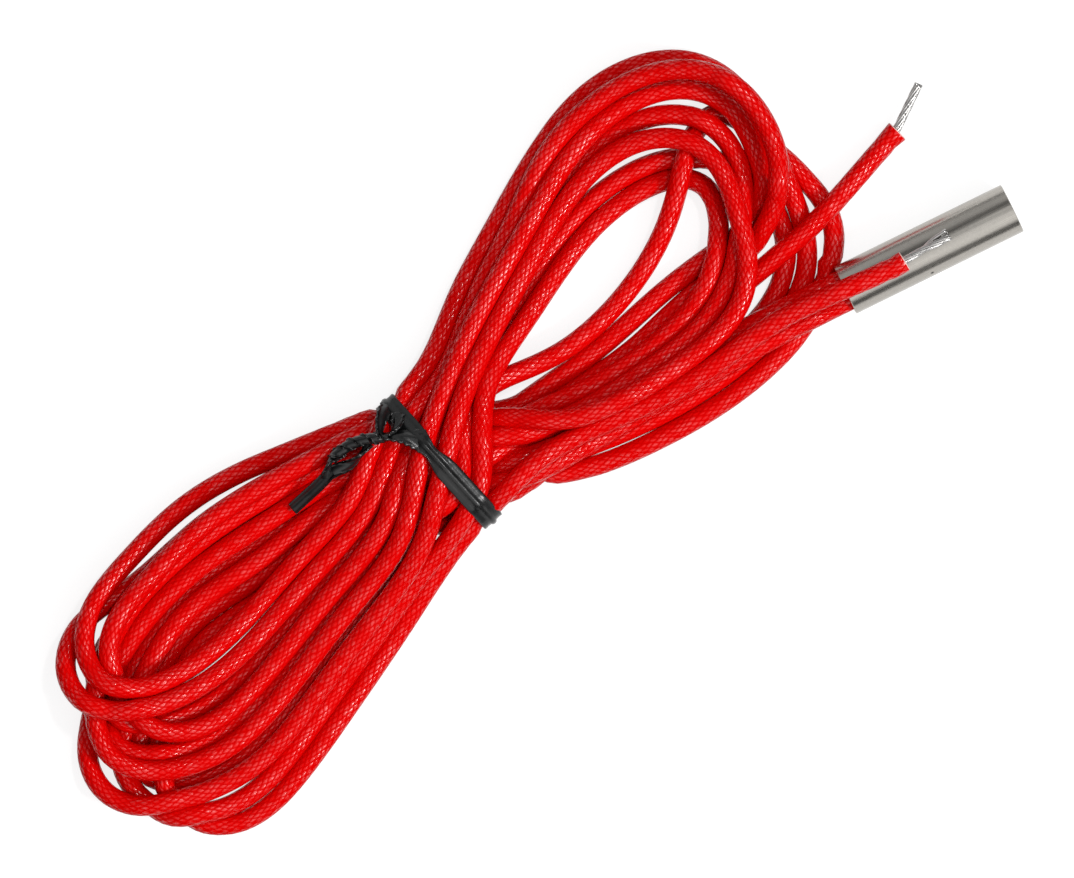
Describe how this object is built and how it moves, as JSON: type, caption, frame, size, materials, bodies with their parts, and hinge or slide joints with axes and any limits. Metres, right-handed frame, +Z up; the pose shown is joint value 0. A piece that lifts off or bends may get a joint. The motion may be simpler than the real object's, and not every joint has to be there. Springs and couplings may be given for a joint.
{
  "type": "cartridge heater",
  "caption": "Small round cartridge heater with a plain ground sheath and braided leads tied in a hank; slides into a bore and heats the block round it.",
  "frame": {"origin": "on the table under the middle of the sheath as it lies there", "axes": "+X along the sheath's axis towards its closed end, +Z up from the table"},
  "size_m": [0.1241, 0.0595, 0.0118],
  "materials": {
    "stainless": "ground, satin",
    "ceramic": "fired, unglazed",
    "magnesia": "compacted powder and cement",
    "resistance_wire": "drawn, oxidised",
    "tinned_copper": "tinned, bright",
    "glass_braid": "varnished red braid",
    "tie_plastic": "satin black"
  },
  "bodies": {
    "root": {"sheath": "stainless", "end_disc": "stainless", "base_insulator": "ceramic", "ceramic_core": "ceramic", "heating_coil": "resistance_wire", "powder_fill": "magnesia", "core_cap": "ceramic", "lead_seal": "magnesia", "conductor_a": "tinned_copper", "conductor_b": "tinned_copper", "lead_a_root": "glass_braid", "lead_b_root": "glass_braid", "lead_hank": "glass_braid", "lead_a_tail": "glass_braid", "lead_b_tail": "glass_braid", "lead_a_tip": "tinned_copper", "lead_b_tip": "tinned_copper", "twist_tie": "tie_plastic"}
  },
  "joints": []
}
